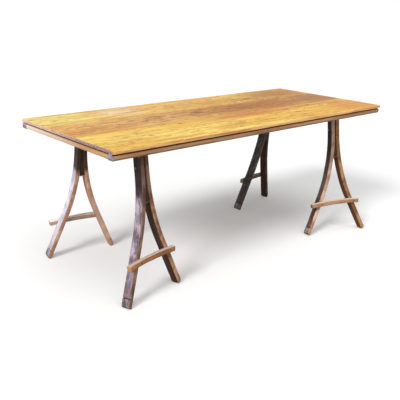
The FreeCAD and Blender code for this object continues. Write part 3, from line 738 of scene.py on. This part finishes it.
def bar_oak(name, seed, tones, ends):
    """Riven crossbar oak, with a painted highlight on its top and painted shade along its underside, and end
    grain of its own.
    """
    finish = Finish(name)
    grain = finish.grain()
    _, rise, along = finish.split(grain)
    light, dark, lit_top_tone, end_tone = tones
    first, last = ends
    streaks = finish.cloud(grain, (80, 80, 5), (seed, 0, 3), 4.0, 0.65)
    blots = finish.cloud(grain, (26, 26, 10), (seed, 8, 1), 4.0, 0.65)
    pores = finish.specks(grain, (700, 700, 26), (seed, 5, 0), (0.58, 0.74))
    colour = finish.mix(finish.step(blots, 0.40, 0.62) * 0.6, light, dark)
    colour = finish.mix(finish.step(streaks, 0.42, 0.70) * 0.6, colour, dark)
    # Painted highlight on the top face, then painted shade along the underside
    colour = finish.mix(finish.step(rise + (blots - 0.5) * 0.006, *BAR_LIT_AND_SHADED_RIM), colour, lit_top_tone)
    colour = finish.mix(finish.step(0 - rise, *BAR_LIT_AND_SHADED_RIM) * 0.6, colour, dark)
    inside = finish.step(along - first, *BAR_END) * finish.step(last - along, *BAR_END)
    end_colour = finish.mix(finish.step(blots, 0.42, 0.66) * 0.6, end_tone, dark)
    colour = finish.mix(inside, end_colour, colour)
    colour = finish.mix(pores * 0.35, colour, dark)
    return finish.done(colour, 0.54 + streaks * 0.2, streaks * 0.0006 - pores * 0.00006, 0.22)


def old_iron(name):
    """Dark bolts and rods with a bloom of rust."""
    finish = Finish(name)
    place = finish.place()
    rust = finish.specks(place, (160, 160, 160), (0, 0, 0), (0.50, 0.72), 4.0, 0.65)
    worn = finish.cloud(place, (420, 420, 420))
    colour = finish.mix(worn, tone(80, 80, 82), tone(126, 125, 126))
    colour = finish.mix(rust * 0.6, colour, tone(92, 60, 42))
    return finish.done(colour, 0.38 + rust * 0.35, worn * 0.0001 - rust * 0.0001, 0.5, metal=0.85)


def screw_steel(name):
    """Bright steel, dulled in patches."""
    finish = Finish(name)
    dull = finish.cloud(finish.place(), (240, 240, 240), detail=3.0, rough=0.6)
    colour = finish.mix(dull, tone(182, 180, 174), tone(120, 116, 110))
    return finish.done(colour, 0.28 + dull * 0.3, dull * 0.0001, 0.5, metal=1.0)


def dress(piece, material):
    piece.data.materials.clear()
    piece.data.materials.append(material)


def dress_nodes(names, material):
    for name in names:
        dress(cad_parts[name], material)


def dress_top():
    front_patches = [
        (tone(208, 134, 60), (0.10, -0.118), (0.44, 0.080), 0.90),
        (tone(222, 150, 74), (0.58, -0.110), (0.42, 0.060), 0.75),
        (tone(208, 140, 72), (0.88, -0.250), (0.32, 0.20), 0.80),
    ]
    middle_patches = [
        (tone(176, 116, 48), (0.36, 0.050), (0.72, 0.24), 1.0),
        (tone(158, 112, 66), (0.86, 0.050), (0.40, 0.20), 0.90),
        (tone(228, 176, 112), (-0.50, 0.080), (0.36, 0.12), 0.70),
    ]
    rear_patches = [
        (tone(246, 228, 136), (-0.84, 0.330), (0.28, 0.16), 0.85),
        # This pale cream patch is a painted reflection: the sheen of the finish at the rear left
        (tone(246, 222, 178), (-0.46, 0.320), (0.19, 0.13), 0.85),
        (tone(216, 160, 90), (0.04, 0.270), (0.46, 0.14), 0.70),
        (tone(168, 116, 66), (0.78, 0.290), (0.42, 0.22), 0.90),
    ]
    golden = (tone(248, 216, 112), tone(236, 190, 84), tone(180, 112, 40), tone(84, 48, 20))
    tan = (tone(236, 186, 106), tone(222, 164, 86), tone(150, 90, 40), tone(74, 44, 24))
    orange = (tone(236, 196, 104), tone(226, 176, 90), tone(172, 114, 52), tone(92, 56, 28))
    front = plank_oak("front_plank_oak", 3.0, (-0.315, 0.120), [FRONT_JOINT_Y],
                      ((0.46, -0.12), (0.6, 0.05)), golden, front_patches)
    middle = plank_oak("middle_plank_oak", 11.0, (0.070, 0.050), [FRONT_JOINT_Y, REAR_JOINT_Y],
                       ((-0.22, 0.062), (0.90, 0.14)), tan, middle_patches)
    rear = plank_oak("rear_plank_oak", 23.0, (0.345, 0.100), [REAR_JOINT_Y],
                     ((0.34, 0.22), (0.6, 0.09)), orange, rear_patches)
    dress_nodes(["front_plank"], front)
    dress_nodes(["middle_plank"], middle)
    dress_nodes(["rear_plank"], rear)
    strip = (tone(208, 160, 118), tone(182, 132, 94), tone(120, 82, 54))
    dress_nodes(["front_edge_strip", "rear_edge_strip"], edge_strip_oak("edge_strip_oak", 5.0, strip))
    dress_nodes(["left_end_cleat", "right_end_cleat"], end_cleat_oak("end_cleat_oak", 9.0))
    under = (tone(188, 150, 108), tone(160, 120, 82), tone(98, 68, 44))
    battens = [side + "_" + place + "_batten" for side in ("left", "right") for place in ("outer", "inner")]
    dress_nodes(battens + ["left_bearer", "right_bearer"], sawn_oak("bearer_oak", 1, 13.0, under))
    dress_nodes(["batten_screws", "frame_screws"], screw_steel("screw_steel"))


# Tones of each stave: hollow face and its stains, edge and its streaks, back
# They hold painted light as well as the wood's own colour: the left rear staves are painted pale as in full
# light, the right rear staves and the right front inner stave dark as painted shade, and the back of the
# left front inner stave dark as the outer stave's painted shadow
STAVE_TONES_LIT_AND_SHADED = {
    "left_front_outer": ((200, 182, 196), (104, 92, 106), (172, 130, 104), (108, 78, 60), (104, 74, 52)),
    "left_front_inner": ((150, 130, 130), (84, 70, 70), (222, 168, 128), (134, 88, 62), (46, 33, 26)),
    "left_rear_outer": ((250, 246, 255), (200, 194, 212), (238, 188, 156), (192, 138, 108), (196, 146, 110)),
    "left_rear_inner": ((214, 196, 190), (160, 140, 136), (250, 206, 176), (206, 150, 122), (212, 166, 132)),
    "right_front_inner": ((114, 97, 100), (62, 49, 48), (226, 188, 158), (170, 126, 98), (104, 74, 52)),
    "right_front_outer": ((150, 130, 124), (90, 74, 68), (194, 142, 94), (124, 82, 50), (84, 54, 32)),
    "right_rear_inner": ((112, 108, 106), (66, 62, 60), (104, 92, 82), (66, 56, 50), (88, 64, 46)),
    "right_rear_outer": ((92, 72, 58), (54, 39, 30), (94, 62, 42), (54, 35, 24), (74, 48, 32)),
}
# How dark the top's painted shadow is on the upper third of each leg, on the faces of its staves and on
# their edges
TOP_SHADOW_PAINT = {
    "left_front": (0.92, 0.30),
    "left_rear": (0.95, 0.92),
    "right_front": (0.70, 0.05),
    "right_rear": (0.30, 0.30),
}
# Tones of each crossbar: its face and its streaks, its top with its painted highlight, its ends
# The left rear and right front bars are painted lighter, a painted pool of light over the shade that falls
# on them
BAR_TONES_LIT_AND_SHADED = {
    "left_front": ((196, 138, 92), (120, 72, 44), (200, 182, 166), (196, 146, 102)),
    "left_rear": ((238, 200, 176), (150, 108, 88), (255, 246, 242), (240, 206, 182)),
    "right_front": ((182, 142, 108), (128, 90, 64), (228, 206, 180), (134, 98, 72)),
    "right_rear": ((150, 122, 100), (84, 62, 48), (150, 134, 120), (178, 166, 152)),
}


def dress_legs():
    iron = old_iron("dark_iron")
    # The packing strips are painted near-black as the shade in the gap between the staves
    packing = sawn_oak("shaded_packing_oak", 2, 17.0, (tone(70, 48, 32), tone(54, 36, 24), tone(34, 22, 16)))
    collar = sawn_oak("collar_oak", 2, 18.0, (tone(150, 112, 78), tone(122, 88, 60), tone(78, 54, 38)))
    peg = sawn_oak("peg_oak", 1, 19.0, (tone(140, 112, 86), tone(116, 88, 66), tone(66, 48, 36)))
    for number, leg in enumerate(LEGS):
        seed = 7.0 * number
        for side, u_side in (("outer", leg.outer), ("inner", -leg.outer)):
            seed += 1.5
            tones = [tone(*shade) for shade in STAVE_TONES_LIT_AND_SHADED[leg.name + "_" + side]]
            finish = stave_oak(leg.name + "_" + side + "_oak", seed, tones, TOP_SHADOW_PAINT[leg.name])
            dress(make_stave(leg, side + "_stave", u_side, seed), finish)
        bar_tones = [tone(*shade) for shade in BAR_TONES_LIT_AND_SHADED[leg.name]]
        bar_ends = (leg.bar_offset - leg.bar_half, leg.bar_offset + leg.bar_half)
        bar_finish = bar_oak(leg.name + "_crossbar_oak", seed, bar_tones, bar_ends)
        dress(make_crossbar(leg, seed + 1.0), bar_finish)
        iron_parts = ("pivot_rod", "pivot_nuts", "pivot_plate", "clamp_bolts", "clamp_nuts")
        dress_nodes([leg.name + "_" + part for part in iron_parts], iron)
        dress_nodes([leg.name + "_packing_strips"], packing)
        dress_nodes([leg.name + "_swivel_collar"], collar)
        dress_nodes([leg.name + "_crossbar_pegs"], peg)


# Floor, light and camera

CAMERA_PLACE = Vector((-2.2898, -2.3712, 1.3790))
CAMERA_YAW = 0.83694
CAMERA_PITCH = 0.33021
CAMERA_ROLL = 0.02671
FOCAL_PIXELS = 596.19
FRAME_PIXELS = 400
SENSOR = 36.0
FLOOR_REACH = 200.0
SKY_SHARE = 0.17
FLOOR_BOUNCE = tone(150, 150, 150)
FLOOR_GLOW = 0.20

# Lamps: the share of a plain level that each gives the floor, then in degrees its height,
# its turn from the left end towards the front, and its width
LAMPS = {
    "key": (0.45, 37.0, 15.0, 18.0),
    "overhead": (0.30, 78.0, 90.0, 50.0),
    "fill": (0.17, 28.0, 72.0, 70.0),
}


def shown_rays(tree):
    """One for rays that show the background: to the camera, off gloss and through glass."""
    path = tree.nodes.new("ShaderNodeLightPath")
    shown = path.outputs["Is Camera Ray"]
    for ray in ("Is Glossy Ray", "Is Transmission Ray"):
        either = tree.nodes.new("ShaderNodeMath")
        either.operation = "MAXIMUM"
        tree.links.new(shown, either.inputs[0])
        tree.links.new(path.outputs[ray], either.inputs[1])
        shown = either.outputs[0]
    return shown


def lay_floor():
    bm = bmesh.new()
    bmesh.ops.create_grid(bm, x_segments=1, y_segments=1, size=FLOOR_REACH)
    floor = piece_of(bm, "floor")
    finish = Finish("white_floor")
    shown = Wire(finish, shown_rays(finish.tree))
    colour = finish.mix(shown, FLOOR_BOUNCE, (1, 1, 1, 1))
    finish.plug(finish.shader.inputs["Base Color"], colour)
    finish.shader.inputs["Roughness"].default_value = 1.0
    finish.shader.inputs["Specular IOR Level"].default_value = 0.0
    glow = finish.node("ShaderNodeEmission", {}, {"Color": (1, 1, 1, 1), "Strength": 1.0})
    lit = Wire(finish, finish.shader.outputs[0])
    blend = finish.node("ShaderNodeMixShader", {}, {0: shown * FLOOR_GLOW, 1: lit, 2: glow})
    finish.plug(finish.tree.nodes["Material Output"].inputs["Surface"], blend)
    dress(floor, finish.material)


def light_studio():
    world = bpy.data.worlds.new("studio")
    bpy.context.scene.world = world
    world.use_nodes = True
    tree = world.node_tree
    sky = tree.nodes["Background"]
    sky.inputs["Color"].default_value = (1, 1, 1, 1)
    level = tree.nodes.new("ShaderNodeMapRange")
    level.inputs["To Min"].default_value = SKY_SHARE
    level.inputs["To Max"].default_value = 1.0
    tree.links.new(shown_rays(tree), level.inputs["Value"])
    tree.links.new(level.outputs[0], sky.inputs["Strength"])
    for name, (share, height, round_to_front, width) in LAMPS.items():
        lamp = bpy.data.lights.new(name, "SUN")
        lamp.angle = math.radians(width)
        lamp.energy = share * math.pi / math.sin(math.radians(height))
        sun = bpy.data.objects.new(name, lamp)
        sun.matrix_world = turn(round_to_front, "Z") @ turn(height - 90, "Y")
        bpy.context.scene.collection.objects.link(sun)


def set_camera():
    forward = Vector((math.cos(CAMERA_YAW) * math.cos(CAMERA_PITCH),
                      math.sin(CAMERA_YAW) * math.cos(CAMERA_PITCH), -math.sin(CAMERA_PITCH)))
    right = Vector((math.sin(CAMERA_YAW), -math.cos(CAMERA_YAW), 0))
    up = right.cross(forward)
    tilted_right = right * math.cos(CAMERA_ROLL) + up * math.sin(CAMERA_ROLL)
    tilted_up = up * math.cos(CAMERA_ROLL) - right * math.sin(CAMERA_ROLL)
    camera = bpy.data.cameras.new("camera")
    camera.sensor_width = SENSOR
    camera.lens = FOCAL_PIXELS / FRAME_PIXELS * SENSOR
    camera.clip_end = 4 * FLOOR_REACH
    eye = bpy.data.objects.new("camera", camera)
    turned = Matrix((tilted_right, tilted_up, -forward)).transposed().to_4x4()
    eye.matrix_world = Matrix.Translation(CAMERA_PLACE) @ turned
    bpy.context.scene.collection.objects.link(eye)
    bpy.context.scene.camera = eye


dress_top()
dress_legs()
lay_floor()
light_studio()
set_camera()
bpy.context.scene.view_settings.view_transform = "Standard"
bpy.context.view_layer.update()
